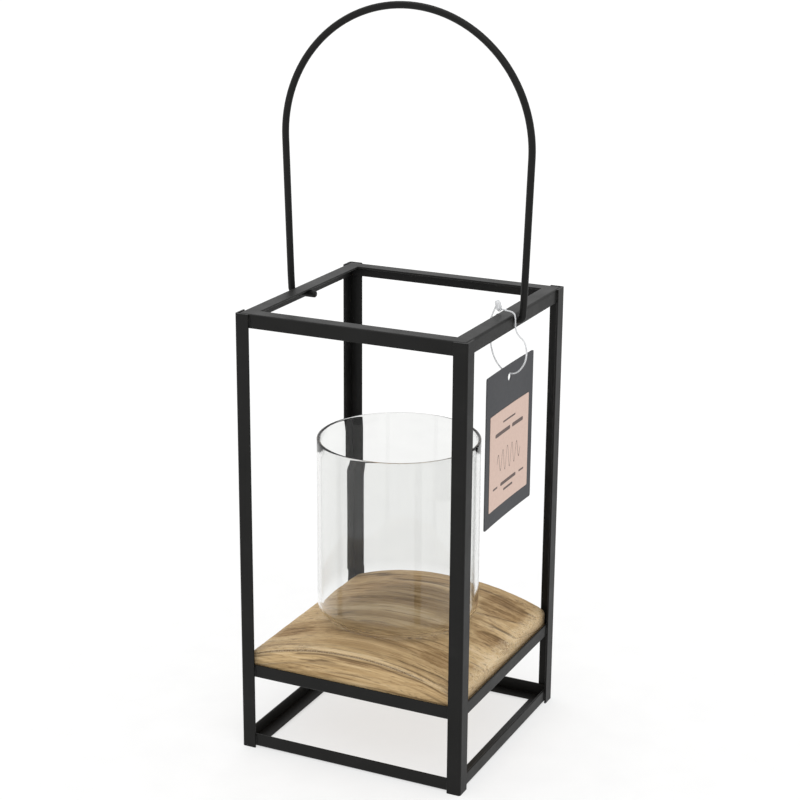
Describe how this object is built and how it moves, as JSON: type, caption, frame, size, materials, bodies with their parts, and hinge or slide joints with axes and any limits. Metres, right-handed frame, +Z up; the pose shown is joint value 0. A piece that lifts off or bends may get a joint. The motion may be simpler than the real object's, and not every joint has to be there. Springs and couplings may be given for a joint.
{
  "type": "hanging lantern",
  "caption": "Open square candle lantern of black angle iron with a wire bail, a crowned wooden board and a lift-out glass cylinder.",
  "frame": {"origin": "middle of the square footprint, on the surface that the lantern stands on", "axes": "+Z up along the posts, +Y to the back, +X to the side that carries the hang tag, parallel to the bail's pivot axis"},
  "size_m": [0.1326, 0.12, 0.3679],
  "materials": {
    "black_coat": "fine matt powder coat",
    "board_wood": "waxed, open grain",
    "screw_steel": "zinc plated",
    "clear_glass": "clear",
    "clear_nylon": "translucent moulded nylon",
    "dark_card": "uncoated dark card",
    "label_paper": "printed paper"
  },
  "bodies": {
    "frame": {"post_front_left": "black_coat", "post_front_right": "black_coat", "post_back_left": "black_coat", "post_back_right": "black_coat", "top_rail_front": "black_coat", "top_rail_right": "black_coat", "top_rail_back": "black_coat", "top_rail_left": "black_coat", "shelf_rail_front": "black_coat", "shelf_rail_right": "black_coat", "shelf_rail_back": "black_coat", "shelf_rail_left": "black_coat", "base_rail_front": "black_coat", "base_rail_right": "black_coat", "base_rail_back": "black_coat", "base_rail_left": "black_coat", "wood_board": "board_wood", "board_screws": "screw_steel", "tag_loop": "clear_nylon", "loop_catch": "clear_nylon"},
    "bail": {"handle": "black_coat"},
    "glass": {"glass_cylinder": "clear_glass"},
    "tag": {"tag_card": "dark_card", "tag_label": "label_paper"}
  },
  "joints": [
    {"name": "bail_swing", "type": "hinge", "parent": "frame", "child": "bail", "pos_m": [0, 0, 0.2225], "axis": [1, 0, 0], "range_deg": [-135, 135]},
    {"name": "glass_lift", "type": "slide", "parent": "frame", "child": "glass", "axis": [0, 0, 1], "range_m": [0, 0.18]},
    {"name": "tag_swing", "type": "hinge", "parent": "frame", "child": "tag", "pos_m": [0.0565, -0.001, 0.1943], "axis": [1, 0, 0], "range_deg": [-24, 24]}
  ]
}
